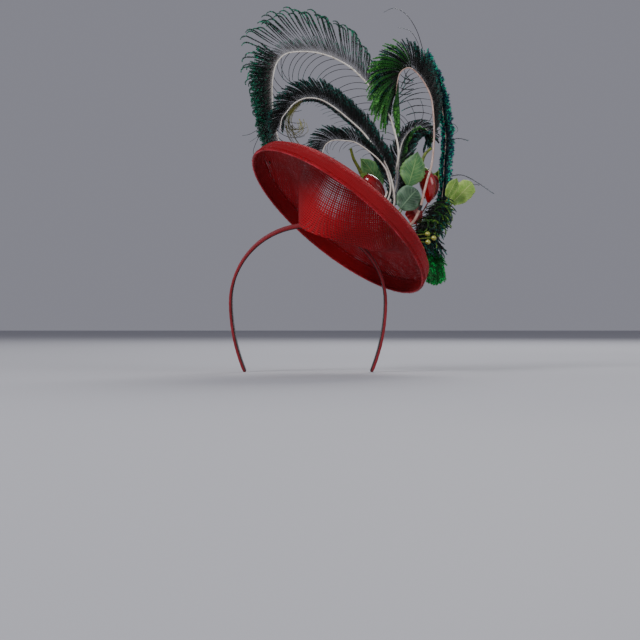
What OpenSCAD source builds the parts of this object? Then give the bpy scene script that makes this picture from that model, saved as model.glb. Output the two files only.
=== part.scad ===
// Percher hat of woven straw on a covered headband, trimmed with curled
// feathers, leaves, peppers and a plume. Millimetres, +Z up, as worn.
// Origin: underside of the headband at the top of the head.
// +X is the wearer's right hand side of the trim, +Y is the way the wearer faces.

/* [Headband] */
// Inner radius of the round part of the band
band_r = 72.5; // [66:0.5:84]
// Width of the covered band
band_w = 18; // [10:1:24]
// Width of the band at its tips
tip_w = 11; // [8:1:16]
// Thickness of the lining strip
lining_t = 0.6; // [0.4:0.1:1]
// Thickness of the fabric cover on each side of the core
cover_t = 0.6; // [0.4:0.1:1]
// Thickness of the springy core strip
core_t = 1.2; // [0.8:0.1:2]
// Angle that the band leans back from the vertical
band_lean = 10; // [0:1:20]
// Angle from the top of the band at which each arm starts to flex
flex_angle = 60; // [50:1:70]
// Radius of the lower, straighter part of each arm
arm_r = 180; // [120:5:300]
// Angle covered by the lower part of each arm
arm_sweep = 22; // [14:1:26]

/* [Hat] */
// Radius of the rim
brim_r = 100; // [85:1:120]
// Height of the flat of the brim above the rim
brim_h = 20; // [14:1:26]
// Radius at which the bowl starts
bowl_r = 62; // [52:1:68]
// Thickness of the woven shell
shell_t = 1.2; // [0.8:0.1:1.6]
// Thickness of the bias binding
binding_t = 0.5; // [0.3:0.1:0.8]
// Height of the binding on each face
binding_h = 13; // [8:1:16]
// Sideways tilt of the hat
hat_tilt = 38.4; // [30:0.2:44]
// Forward tilt of the hat
hat_pitch = 14.8; // [8:0.2:20]
// Radius of the dome that rests on the head
seat_r = 92; // [84:1:110]
// Gap between the top of the band and that dome
seat_gap = 0.6; // [0.4:0.1:2]

/* [Trim] */
// Radius of the thickest quill at its foot
quill_r = 1; // [0.8:0.1:1.4]
// Thickness of a feather's flat vane
vane_t = 0.9; // [0.6:0.1:1.4]
// Thickness of an artificial leaf
leaf_t = 0.8; // [0.5:0.1:1.2]
// Radius of the leaf and pepper wires
wire_r = 0.6; // [0.5:0.1:0.8]
// Radius of a pepper at its thickest
pepper_r = 8; // [6:0.5:9]
// Radius of the felt mound that holds the stems
mound_r = 15; // [12:1:18]

/* [Hidden] */
fit = 0.05; // clearance between pieces that lie against each other
band_t = lining_t + 2 * cover_t + core_t;
core_w = band_w - 4;
core_tip_w = tip_w - 3;
split_gap = 0.8; // gap between the flexing pieces of the band
arm_lap = 0.1; // how far the straighter arm runs into the arch, in degrees
hat_origin = [27.7, -5, 4.5]; // centre of the rim's circle
seat_s = band_t + seat_gap - seat_r;
seat_c = [0, -seat_s * sin(band_lean), seat_s * cos(band_lean)];
crown_r = seat_r + shell_t;
half_t = shell_t / 2;
wire_in = half_t; // the rim wire is as thick as the shell that it ends
bind_in = half_t + 0.1;
bind_out = bind_in + binding_t;
mound_c = [50, 12, -12]; // centre of the felt mound's ball
stitch_angles = [3, 11, 19, 27];
thread = 0.8; // width and depth of a sewn thread
wire_gap = 1; // how far a leaf's wire stops before its leaf
tip_z = -band_r - arm_r * sin(arm_sweep);
whole = 400; // larger than the whole hat

// Points of a smooth curve through the given points
function between(a, b, c, d, t) =
    0.5 * (2 * b + (c - a) * t + (2 * a - 5 * b + 4 * c - d) * t * t
    + (3 * b - a - 3 * c + d) * t * t * t);
function held(p, i) = p[max(0, min(len(p) - 1, i))];
function curve(p, steps) = [
    for (i = [0 : len(p) - 2], s = [0 : steps - 1])
        between(held(p, i - 1), p[i], p[i + 1], held(p, i + 2), s / steps),
    p[len(p) - 1]];
function unit(v) = v / norm(v);
function heading(p, i) = unit(held(p, i + 1) - held(p, i - 1));
function reversed(p) = [for (i = [len(p) - 1 : -1 : 0]) p[i]];

// Sideways direction of a path at point i, turned about the path by twist
function sideways(p, i, twist) =
    let (t = heading(p, i), s = unit(cross([0, 1, 0], t)))
    cos(twist) * s + sin(twist) * cross(t, s);

// Puts flat section points [across, up] round each point of a path
function ring(p, i, twist, section) =
    let (s = sideways(p, i, twist), u = cross(heading(p, i), s))
    [for (q = section) p[i] + q[0] * s + q[1] * u];

// Closed solid through rings that all have the same number of points
module loft(rings) {
    m = len(rings[0]);
    last = (len(rings) - 1) * m;
    polyhedron(
        points = [for (r = rings, q = r) q],
        faces = concat(
            [[for (j = [0 : m - 1]) j]],
            [[for (j = [m - 1 : -1 : 0]) last + j]],
            [for (i = [0 : len(rings) - 2], j = [0 : m - 1])
                [i * m + j, (i + 1) * m + j, (i + 1) * m + (j + 1) % m]],
            [for (i = [0 : len(rings) - 2], j = [0 : m - 1])
                [i * m + j, (i + 1) * m + (j + 1) % m, i * m + (j + 1) % m]]));
}

// Tapered round rod along a path
module rod(p, r0, r1, sides = 8) {
    n = len(p) - 1;
    loft([for (i = [0 : n])
        let (r = r0 + (r1 - r0) * i / n)
        ring(p, i, 0, [for (j = [0 : sides - 1])
            r * [cos(360 * j / sides), sin(360 * j / sides)]])]);
}

// Flat vane beside a path: it starts at offset near and ends at each width
module vane(p, steps, near, widths, twist = 0) {
    path = curve(p, steps);
    wide = curve([for (w = widths) [w, 0]], steps);
    h = vane_t / 2;
    loft([for (i = [0 : len(path) - 1])
        let (a = near, b = near + max(0.4, wide[i][0]))
        ring(path, i, twist, [[a, -h], [b, -h], [b, h], [a, h]])]);
}

// Cupped leaf along its midrib, with the given half widths
module leaf(p, steps, widths, cup, twist = 0) {
    path = curve(p, steps);
    wide = curve([for (w = widths) [w, 0]], steps);
    h = leaf_t / 2;
    loft([for (i = [0 : len(path) - 1])
        let (w = max(1, wide[i][0]), c = cup * w)
        ring(path, i, twist, [[0, h], [-w, c + h], [-w, c - h],
            [0, -h], [w, c - h], [w, c + h]])]);
}

// Round body of changing radius along a path
module fruit(p, steps, radii, sides = 12) {
    path = curve(p, steps);
    fat = curve([for (r = radii) [r, 0]], steps);
    loft([for (i = [0 : len(path) - 1])
        ring(path, i, 0, [for (j = [0 : sides - 1])
            max(0.3, fat[i][0]) * [cos(360 * j / sides), sin(360 * j / sides)]])]);
}

// Headband: a round arch, then a straighter arm on each side
module lean() {
    rotate([band_lean, 0, 0]) children();
}

module strip(a, b) {
    translate([a, -whole / 2]) square([b - a, whole]);
}

module arch(a, b, from, to) {
    translate([0, 0, -band_r]) rotate([90, 0, 0]) rotate([0, 0, 90 - to])
        rotate_extrude(angle = to - from, $fn = 96) strip(band_r + a, band_r + b);
}

module arm(a, b) {
    translate([band_r - arm_r, 0, -band_r]) rotate([90, 0, 0])
        rotate([0, 0, -arm_sweep]) rotate_extrude(angle = arm_sweep + arm_lap, $fn = 96)
        strip(arm_r + a, arm_r + b);
}

// Side view of the band, pushed across the whole width of the hat
module side_outline(w, end_w, cut) {
    low = tip_z + cut + end_w / 2;
    translate([-whole / 2, 0, 0]) rotate([90, 0, 90]) linear_extrude(whole) {
        polygon([[-w / 2, 20], [-w / 2, -band_r], [-end_w / 2, low],
            [end_w / 2, low], [w / 2, -band_r], [w / 2, 20]]);
        translate([0, low]) circle(end_w / 2, $fn = 48);
    }
}

module band_top(a, b, w) {
    ease = split_gap / 2 / band_r * 180 / PI;
    intersection() {
        arch(a, b, -flex_angle + ease, flex_angle - ease);
        side_outline(w, w, 0);
    }
}

module band_right(a, b, w, end_w, cut) {
    ease = split_gap / 2 / band_r * 180 / PI;
    intersection() {
        union() {
            arch(a, b, flex_angle + ease, 90);
            arm(a, b);
        }
        side_outline(w, end_w, cut);
    }
}

module core_top() {
    band_top(lining_t + cover_t, lining_t + cover_t + core_t, core_w);
}

module core_right() {
    band_right(lining_t + cover_t, lining_t + cover_t + core_t, core_w, core_tip_w, 2);
}

module hollow_top() {
    band_top(lining_t + cover_t - fit, lining_t + cover_t + core_t + fit, core_w + 2 * fit);
}

module hollow_right() {
    a = lining_t + cover_t - fit;
    b = lining_t + cover_t + core_t + fit;
    band_right(a, b, core_w + 2 * fit, core_tip_w + 2 * fit, 2 - fit);
}

module cover_top() {
    difference() {
        band_top(lining_t, band_t, band_w);
        hollow_top();
    }
}

module cover_right() {
    difference() {
        band_right(lining_t, band_t, band_w, tip_w, 0);
        hollow_right();
    }
}

module band_core_top() color("gainsboro") lean() core_top();
module band_core_right() color("gainsboro") lean() core_right();
module band_core_left() color("gainsboro") lean() mirror([1, 0, 0]) core_right();
module band_cover_top() color("firebrick") lean() cover_top();
module band_cover_right() color("firebrick") lean() cover_right();
module band_cover_left() color("firebrick") lean() mirror([1, 0, 0]) cover_right();
module band_lining_top() color("black") lean() band_top(0, lining_t, band_w - 2);
module band_lining_right() {
    color("black") lean() band_right(0, lining_t, band_w - 2, tip_w - 2, 1);
}
module band_lining_left() {
    color("black") lean() mirror([1, 0, 0]) band_right(0, lining_t, band_w - 2, tip_w - 2, 1);
}

// Hat shell: a section turned about the hat's own axis
module hat_place() {
    translate(hat_origin) rotate([-hat_pitch, hat_tilt, 0]) children();
}

wall_top = [bowl_r - 4.5, brim_h - 4.6]; // where the bowl's wall becomes straight
wall_way = unit([-17, -22.5]); // direction of the straight wall, towards the head
shell_line = curve([[brim_r, 1.3], [brim_r - 1.2, 7], [brim_r - 4, brim_h - 7],
    [brim_r - 9, brim_h - 2.5], [brim_r - 16, brim_h], [bowl_r + 9, brim_h + 0.4],
    [bowl_r + 2, brim_h - 0.6], wall_top], 2);
function sloped(p, i) = let (t = heading(p, i)) [-t[1], t[0]];
function beside(p, d) = [for (i = [0 : len(p) - 1]) p[i] + d * sloped(p, i)];
lip_line = concat([[brim_r, 0]], [for (q = shell_line) if (q[1] < binding_h && q[0] > bowl_r + 9) q]);

// The dome's centre in the hat's own frame
function about_x(v, a) = [v[0], v[1] * cos(a) - v[2] * sin(a), v[1] * sin(a) + v[2] * cos(a)];
function about_y(v, a) = [v[0] * cos(a) + v[2] * sin(a), v[1], v[2] * cos(a) - v[0] * sin(a)];
dome = about_x(about_y(seat_c - hat_origin, -hat_tilt), hat_pitch);

// A point of the hat's section turned about its axis
function round_hat(q, a) = [q[0] * cos(a), q[0] * sin(a), q[1]];

// Where a straight line on the wall, from point q of the section, meets the dome
function on_dome(q, a) =
    let (o = round_hat(q, a) - dome, d = round_hat(wall_way, a), k = o * d)
    q + wall_way * (-k - sqrt(k * k - o * o + seat_r * seat_r));

// One radial section of the shell, trimmed to the dome
wall_side = half_t * [-wall_way[1], wall_way[0]];
function section(a) = concat(
    beside(shell_line, half_t), [on_dome(wall_top + wall_side, a), on_dome(wall_top - wall_side, a)],
    reversed(beside(shell_line, -half_t)));

module brim() {
    turns = 90;
    m = len(section(0));
    color("crimson") hat_place() polyhedron(
        points = [for (k = [0 : turns - 1], q = section(360 * k / turns))
            round_hat(q, 360 * k / turns)],
        faces = [for (k = [0 : turns - 1], j = [0 : m - 1], half = [0, 1])
            let (a = k * m + j, b = k * m + (j + 1) % m,
                c = (k + 1) % turns * m + (j + 1) % m, d = (k + 1) % turns * m + j)
            half == 0 ? [a, c, b] : [a, d, c]]);
}

// The cone inside the bowl's straight wall
module bowl_inside() {
    run = 60;
    top = wall_top - (half_t + fit) * [-wall_way[1], wall_way[0]];
    end = top + run * wall_way;
    hat_place() translate([0, 0, end[1]])
        cylinder(h = top[1] - end[1], r1 = end[0], r2 = top[0], $fn = 120);
}

module crown() {
    color("crimson") difference() {
        intersection() {
            difference() {
                translate(seat_c) sphere(crown_r, $fn = 120);
                translate(seat_c) sphere(seat_r, $fn = 120);
            }
            bowl_inside();
        }
        for (a = stitch_angles) stitch(a, fit);
    }
}

module rim_wire() {
    color("dimgray") hat_place() rotate_extrude($fn = 120)
        translate([brim_r, 0]) circle(wire_in - fit, $fn = 24);
}

module edge_binding() {
    function wrap(d) = concat(
        reversed(beside(lip_line, d)),
        [for (a = [20 : 20 : 160]) lip_line[0] + d * [-cos(a), -sin(a)]],
        beside(lip_line, -d));
    color("darkred") hat_place() rotate_extrude($fn = 120)
        polygon(concat(wrap(bind_out), reversed(wrap(bind_in))));
}

// Sewn loops that hold the crown to the band
band_c = [0, band_r * sin(band_lean), -band_r * cos(band_lean)];
function to_crown(a) =
    let (d = [sin(a), -cos(a) * sin(band_lean), cos(a) * cos(band_lean)],
        o = band_c - seat_c, k = o * d)
    -k + sqrt(k * k - o * o + crown_r * crown_r);

module stitch(a, ease) {
    low = -0.15;
    high = to_crown(a) - band_r + 0.15;
    side = band_w / 2 + 0.15;
    lean() translate([0, 0, -band_r]) rotate([0, a, 0]) translate([0, 0, band_r])
        rotate([90, 0, 90]) translate([0, 0, -thread / 2 - ease])
        linear_extrude(thread + 2 * ease) difference() {
            translate([-side - thread - ease, low - thread - ease])
                square([2 * (side + thread + ease), high - low + 2 * (thread + ease)]);
            translate([-side + ease, low + ease])
                square([2 * (side - ease), high - low - 2 * ease]);
        }
}

module band_stitches() {
    color("red") for (a = stitch_angles) stitch(a, 0);
}

module felt_mound() {
    color("darkred") difference() {
        translate(mound_c) sphere(mound_r, $fn = 60);
        translate(seat_c) sphere(crown_r + fit, $fn = 120);
    }
}

// The two lowest points of a stem that leaves the mound in the given direction
function stem_way(turn, rise) = [cos(rise) * cos(turn), cos(rise) * sin(turn), sin(rise)];
function rooted(turn, rise, rest) = concat(
    [for (d = [-3, 6]) mound_c + (mound_r + d) * stem_way(turn, rise)], rest);

// Feathers: the points of each quill, from the mound to its curled tip
quill_1_path = rooted(15, 58, [[76, 20, 34], [87, 22, 68], [83, 24, 95],
    [76, 27, 114], [65, 30, 131], [54, 33, 145], [40, 35, 158], [24, 36, 167], [8, 37, 172],
    [-7, 37, 173], [-21, 36, 171], [-29, 35, 164], [-33, 34, 154], [-35, 33, 135],
    [-33, 31, 106], [-27, 29, 80]]);
quill_2_path = rooted(2, 38, [[82, 15, 20], [81, 16, 42], [74, 17, 62],
    [62, 17, 80], [52, 18, 93], [39, 18, 105], [24, 18, 117], [11, 18, 124], [-2, 17, 125],
    [-13, 16, 120], [-20, 15, 112], [-25, 14, 105], [-27, 13, 94]]);
quill_3_path = rooted(-18, 45, [[78, 5, 32], [76, 4, 50], [71, 3, 60],
    [61, 2, 70], [46, 0, 80], [35, -2, 82], [24, -4, 82], [17, -5, 78], [14, -6, 70],
    [17, -6, 64]]);
quill_4_path = rooted(8, 14, [[88, 14, -2], [100, 9, 5], [107, 6, 19], [110, 6, 31],
    [114, 8, 46], [118, 11, 59], [120, 14, 74], [121, 17, 88], [121, 20, 103],
    [119, 24, 125], [113, 27, 140], [105, 28, 151], [97, 28, 156], [89, 28, 151],
    [86, 28, 140], [85, 28, 129]]);
quill_5_path = rooted(20, 2, [[100, 28, -7], [116, 29, 1], [125, 30, 12],
    [129, 32, 27], [131, 36, 47], [132, 39, 64], [134, 42, 88], [132, 45, 109],
    [129, 47, 131], [122, 49, 152], [113, 50, 172]]);
quill_6_path = rooted(33, 42, [[83, 34, 34], [87, 37, 56], [89, 40, 74],
    [93, 42, 88], [101, 45, 98], [110, 48, 101], [118, 50, 97], [121, 51, 91]]);

module quill(p, r) {
    color("antiquewhite") rod(curve(p, 2), r, 0.4);
}
module quill_1() quill(quill_1_path, quill_r);
module quill_2() quill(quill_2_path, quill_r);
module quill_3() quill(quill_3_path, quill_r * 0.8);
module quill_4() quill(quill_4_path, quill_r);
module quill_5() quill(quill_5_path, quill_r);
module quill_6() quill(quill_6_path, quill_r * 0.8);

// The part of a path from point a on
function from_point(p, a) = [for (i = [a : len(p) - 1]) p[i]];

module dark_vane(p, start, widths, twist = 0) {
    path = from_point(p, start);
    color("darkslategray") vane(path, 2, quill_r + 0.2, widths, twist);
}
module vane_1() dark_vane(quill_1_path, 6, [3, 16, 30, 42, 46, 42, 40, 40, 36, 30, 24, 16]);
module vane_2() dark_vane(quill_2_path, 3, [2, 12, 16, 18, 18, 18, 18, 17, 15, 13, 10, 8]);
module vane_3() dark_vane(quill_3_path, 4, [1, 5, 10, 13, 13, 12, 9, 6]);
module vane_4() dark_vane(quill_4_path, 8, [1, 2, 4, 8, 14, 18, 20, 20, 18, 14]);
module vane_5() dark_vane(quill_5_path, 3, [4, 9, 10, 11, 12, 13, 13, 12, 10, 6], 90);
module vane_6() dark_vane(quill_6_path, 3, [2, 6, 9, 11, 12, 12, 9]);

// Thread wound round the quills where they leave the mound
module quill_binding() {
    c = quill_4_path[4];
    d = unit(quill_4_path[5] - quill_4_path[3]);
    p = [for (s = [-2.5, 0, 2.5]) c + s * d];
    color("black") difference() {
        rod(p, quill_r + 0.8, quill_r + 0.8, 12);
        rod([for (s = [-4, 0, 4]) c + s * d], quill_r + 0.1, quill_r + 0.1, 12);
    }
}

// Single long barbs that stand clear of the feathers
wisp_paths = [
    [[112, 49, 178], [106, 48, 196], [96, 47, 211], [84, 46, 217], [74, 45, 213]],
    [[-38, 36, 112], [-46, 36, 100], [-56, 36, 93], [-64, 35, 91]],
    [[-38, 26, 106], [-48, 25, 88], [-53, 24, 74], [-48, 23, 68]],
    [[138, 40, 87], [147, 41, 89], [156, 42, 87]],
    [[139, 38, 52], [150, 39, 53], [163, 40, 47], [181, 41, 35]],
    [[139, 42, 48], [152, 43, 45], [167, 44, 44]]];
module wisp_barbs() {
    color("darkslategray") for (p = wisp_paths) rod(curve(p, 3), 0.6, 0.4, 6);
}

module olive_curl() {
    color("olive") rod(curve([[-8, 8, 120], [-17, 7, 110], [-20, 6, 98], [-14, 5, 89],
        [-6, 5, 93], [-8, 6, 101]], 3), 1.2, 0.5);
}

// Leaves
leaf_round_path = [[88, 2, 18], [93, 3, 24], [98, 4, 30], [104, 4, 36]];
leaf_pointed_path = [[96, 12, 40], [99, 12, 50], [102, 12, 61], [105, 12, 73]];
leaf_back_path = [[71, 44, 40], [66, 45, 50], [60, 45, 60], [51, 44, 70]];
leaf_lobed_path = [[139, 28, 25], [145, 29, 31], [152, 30, 38], [159, 31, 45]];
leaf_small_path = [[134, 20, 30], [137, 19, 36], [140, 18, 42], [143, 17, 48]];
module leaf_round() color("seagreen") leaf(leaf_round_path, 4, [4, 10, 11, 4], 0.2);
module leaf_pointed() color("forestgreen") leaf(leaf_pointed_path, 4, [2, 8, 9, 1.6], 0.2);
module leaf_back() color("seagreen") leaf(leaf_back_path, 4, [2, 9, 9, 1.6], 0.2);
module leaf_lobed() color("yellowgreen") leaf(leaf_lobed_path, 4, [3, 8, 9, 3], 0.15);
module leaf_small() color("yellowgreen") leaf(leaf_small_path, 4, [2.5, 5, 5, 2], 0.2);

// A wire from the mound by way of one point to the start of a midrib
function lead(p, turn, rise, via) =
    let (d = unit(p[1] - p[0]))
    curve(rooted(turn, rise, [via, p[0] - 5 * d, p[0] - wire_gap * d]), 3);
module leaf_wires() {
    color("olivedrab") {
        rod(lead(leaf_round_path, -22, 25, [80, 3, 8]), wire_r, wire_r);
        rod(lead(leaf_pointed_path, -8, 24, [88, 6, 14]), wire_r, wire_r);
        rod(lead(leaf_back_path, 55, 55, [68, 38, 24]), wire_r, wire_r);
        rod(lead(leaf_lobed_path, 24, 22, [106, 26, 8]), wire_r, wire_r);
        rod(lead(leaf_small_path, 14, 32, [108, 22, 4]), wire_r, wire_r);
    }
}

// Peppers with caps and curved stems
pepper_front_path = [[54, 31, 51], [58, 31, 47], [64, 31, 41], [70, 31, 34], [74, 30, 29]];
pepper_back_path = [[112, 26, 56], [114, 26, 50], [116, 26, 42], [117, 26, 33], [116, 26, 25]];
pepper_radii = [0.5, 0.9, 1, 0.7, 0.15] * pepper_r;
module pepper_front() color("red") fruit(pepper_front_path, 3, pepper_radii);
module pepper_back() color("red") fruit(pepper_back_path, 3, pepper_radii);
module cap_of(p) {
    d = unit(p[0] - p[1]);
    rod([for (s = [0.3, 2, 4]) p[0] + s * d], 0.62 * pepper_r, 0.3 * pepper_r, 12);
}
module pepper_caps() {
    color("yellowgreen") {
        cap_of(pepper_front_path);
        cap_of(pepper_back_path);
    }
}
module stem_of(p, rest) {
    d = unit(p[0] - p[1]);
    rod(curve(concat([p[0] + 4.3 * d], rest), 3), 1.2, 1);
}
module pepper_stems() {
    color("olive") {
        stem_of(pepper_front_path, [[49, 31, 59], [44, 30, 68], [41, 29, 78]]);
        stem_of(pepper_back_path, [[110, 26, 64], [113, 27, 72], [119, 28, 78]]);
    }
}

// Red petals and a folded red strip behind the leaves
petal_1_path = [[104, 17, 4], [102, 16, 14], [97, 15, 20]];
petal_2_path = [[117, 46, 30], [119, 45, 42], [118, 44, 54]];
module red_petals() {
    color("firebrick") {
        leaf(petal_1_path, 3, [5, 8, 3], 0.35);
        leaf(petal_2_path, 3, [4, 8, 3], 0.35);
    }
}
module petal_wires() {
    color("firebrick") {
        rod(lead(petal_1_path, 2, 0, [88, 14, -9]), wire_r, wire_r);
        rod(lead(petal_2_path, 42, 10, [100, 42, 4]), wire_r, wire_r);
    }
}
module lime_ruffle() {
    color("greenyellow") for (k = [0 : 3])
        leaf([[117 + k * 4, 54 + k, 47], [118 + k * 4, 55 + k, 54], [119 + k * 4, 56 + k, 61]],
            3, [1.2, 1.8, 0.8], 0.5);
}

// Berries on wires at the right of the brim
berry_centres = [[114, 6, -6], [120, 5, -10], [114, 1, -14], [108, 0, -20]];
module bud_berries() {
    color("yellowgreen") for (c = berry_centres) translate(c) sphere(2.2, $fn = 24);
}
module bud_wires() {
    color("olive") for (k = [0 : 3]) {
        c = berry_centres[k];
        d = unit(c - mound_c);
        rod(curve(rooted(-26 - 8 * k, [4, -6, 8, -2][k], [c - 8 * d, c - 2.7 * d]), 3), 0.5, 0.5, 6);
    }
}

// Tuft of loose barbs and the short plume that hangs over the rim
module herl_tuft() {
    color("darkslategray") {
        for (k = [0 : 5])
            rod(curve([[106 + k * 3, 16 + k, -3], [110 + k * 4, 15 + k, -14],
                [112 + k * 4, 14 + k, -30]], 3), 1, 0.5, 6);
        for (k = [0 : 4], y = 11 + 1.8 * k)
            rod(curve([[112 + k, y, 3], [119 + k, y, 12], [128 + k, y, 15],
                [136 - k, y, 5]], 3), 0.6, 0.4, 6);
    }
}
plume_path = rooted(30, -10, [[90, 30, -16], [106, 27, -18], [118, 25, -27],
    [122, 24, -38], [124, 23, -49]]);
module plume_quill() color("antiquewhite") rod(curve(plume_path, 3), 0.8, 0.4);
module plume_vane() {
    color("seagreen") translate([0, -1.6, 0])
        leaf(from_point(plume_path, 3), 4, [4, 10, 11, 3], 0.15);
}

band_core_top();
band_core_left();
band_core_right();
band_cover_top();
band_cover_left();
band_cover_right();
band_lining_top();
band_lining_left();
band_lining_right();
brim();
crown();
rim_wire();
edge_binding();
band_stitches();
felt_mound();
quill_1();
quill_2();
quill_3();
quill_4();
quill_5();
quill_6();
vane_1();
vane_2();
vane_3();
vane_4();
vane_5();
vane_6();
quill_binding();
wisp_barbs();
olive_curl();
leaf_round();
leaf_pointed();
leaf_back();
leaf_lobed();
leaf_small();
leaf_wires();
pepper_front();
pepper_back();
pepper_caps();
pepper_stems();
red_petals();
petal_wires();
lime_ruffle();
bud_berries();
bud_wires();
herl_tuft();
plume_vane();
plume_quill();
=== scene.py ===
"""Looks of a percher hat: woven straw brim on a covered headband, with curled
feathers, cloth leaves, lacquered peppers and a short plume."""
import math
import random

import bpy
from mathutils import Euler, Matrix, Vector, noise


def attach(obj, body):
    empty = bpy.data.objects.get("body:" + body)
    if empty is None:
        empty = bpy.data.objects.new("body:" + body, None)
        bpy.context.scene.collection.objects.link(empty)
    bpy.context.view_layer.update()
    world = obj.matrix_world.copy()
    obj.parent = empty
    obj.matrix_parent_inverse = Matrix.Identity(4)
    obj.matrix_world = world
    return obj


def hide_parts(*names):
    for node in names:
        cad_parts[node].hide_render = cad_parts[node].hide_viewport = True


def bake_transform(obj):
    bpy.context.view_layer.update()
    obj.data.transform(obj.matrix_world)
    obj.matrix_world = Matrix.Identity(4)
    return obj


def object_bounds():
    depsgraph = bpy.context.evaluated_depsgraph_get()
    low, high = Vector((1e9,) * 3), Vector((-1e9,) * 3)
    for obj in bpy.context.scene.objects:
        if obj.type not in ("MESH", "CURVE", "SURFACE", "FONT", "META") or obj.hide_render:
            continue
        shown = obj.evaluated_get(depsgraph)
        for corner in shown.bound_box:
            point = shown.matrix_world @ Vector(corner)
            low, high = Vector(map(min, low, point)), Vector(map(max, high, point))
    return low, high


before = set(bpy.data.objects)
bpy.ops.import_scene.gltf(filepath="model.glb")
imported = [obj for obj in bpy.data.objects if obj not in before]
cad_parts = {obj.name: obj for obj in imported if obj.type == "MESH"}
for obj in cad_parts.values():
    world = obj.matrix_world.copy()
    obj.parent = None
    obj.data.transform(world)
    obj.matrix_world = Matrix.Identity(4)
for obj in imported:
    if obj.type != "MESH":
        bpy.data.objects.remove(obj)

cad_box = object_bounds()
HAT = "hat_and_band_top"
MM = 0.001
DEPTH = Vector((0, 1, 0))  # straight into the photo

# --- sizes, in mm
BAND_R = 72.5
BAND_W = 18.0
TIP_W = 11.0
BAND_T = 3.0
LINING_T = 0.6
BAND_LEAN = math.radians(10)
ARM_R = 180.0
ARM_SWEEP = math.radians(22)
BRIM_R = 100.0
BRIM_H = 20.0
BOWL_R = 62.0
SHELL_T = 1.2
EDGE_WIRE_R = 1.3  # the rim wire with the binding's rolled lip
BINDING_H = 13.0
HAT_TILT = math.radians(38.4)
HAT_PITCH = math.radians(14.8)
SEAT_R = 92.0
SEAT_GAP = 0.6
DOME_R = SEAT_R + SHELL_T / 2
HAT_ORIGIN = Vector((27.7, -5.0, 4.5))
MOUND_C = Vector((50, 12, -12))
MOUND_R = 15.0
QUILL_R = 1.0


# --- curves
def between(a, b, c, d, t):
    return 0.5 * (2 * b + (c - a) * t + (2 * a - 5 * b + 4 * c - d) * t * t
                  + (3 * b - a - 3 * c + d) * t * t * t)


def at(points, place):
    """The smooth curve through points, at a place counted in points."""
    i = max(0, min(len(points) - 2, int(place)))
    p = [points[max(0, min(len(points) - 1, j))] for j in range(i - 1, i + 3)]
    return between(*p, place - i)


def curve(points, steps):
    """Points along the smooth curve, with this many steps to each span."""
    points = [Vector(p) if isinstance(p, (list, tuple)) else p for p in points]
    return [at(points, k / steps) for k in range((len(points) - 1) * steps + 1)]


def heading(path, i):
    a, b = path[max(0, i - 1)], path[min(len(path) - 1, i + 1)]
    return (b - a).normalized()


def square_to(d):
    """Two directions square to d, the first in the photo's plane."""
    s = DEPTH.cross(d)
    s = s.normalized() if s.length > 1e-4 else Vector((1, 0, 0))
    return s, d.cross(s)


def spoke(s, u, a):
    """The direction at angle a from s towards u."""
    return math.cos(a) * s + math.sin(a) * u


def hoop(centre, s, u, radius, count):
    """Points once round, the first one repeated. radius is a function of the angle."""
    turns = [2 * math.pi * j / count for j in range(count + 1)]
    return [centre + radius(a) * spoke(s, u, a) for a in turns]


def rooted(turn, rise, rest):
    """A stem's points, from inside the felt mound outwards."""
    turn, rise = math.radians(turn), math.radians(rise)
    way = Vector((math.cos(rise) * math.cos(turn), math.cos(rise) * math.sin(turn), math.sin(rise)))
    return [MOUND_C + (MOUND_R + d) * way for d in (-3, 6)] + [Vector(p) for p in rest]


def lead(path, turn, rise, via):
    """A wire from the mound by way of one point to the start of a midrib."""
    first, second = Vector(path[0]), Vector(path[1])
    d = (second - first).normalized()
    return curve(rooted(turn, rise, [via, first - 5 * d, first - 0.2 * d]), 6)


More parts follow.
